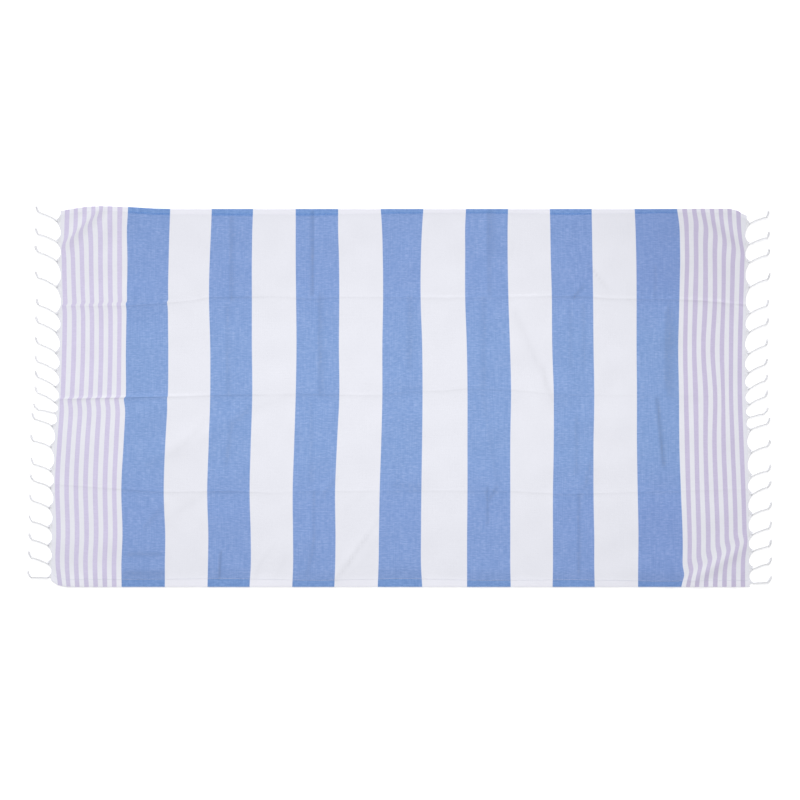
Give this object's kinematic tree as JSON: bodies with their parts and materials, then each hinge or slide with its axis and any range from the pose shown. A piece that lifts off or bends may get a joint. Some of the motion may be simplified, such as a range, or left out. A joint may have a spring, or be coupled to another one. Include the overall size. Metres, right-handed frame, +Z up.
{
  "type": "beach towel",
  "caption": "Flat-woven cotton beach towel laid flat, with wide blue and white cross stripes, narrow lilac stripes near each end, turned side hems and knotted fringes.",
  "frame": {"origin": "on the ground, under the middle of the whole towel's box, fringes included", "axes": "+X along the towel's length, towards the right-hand fringe; +Y across it, towards the side with the narrower hem; +Z up off the ground"},
  "size_m": [1.9668, 1.0066, 0.0061],
  "materials": {
    "striped_cotton": "matt plain-weave cotton, with wide blue and white stripes across it and narrow lilac stripes near each end",
    "fringe_cotton": "matt twisted white cotton yarn"
  },
  "bodies": {
    "root": {"cloth": "striped_cotton", "fringe_left": "fringe_cotton", "fringe_right": "fringe_cotton"}
  },
  "joints": []
}
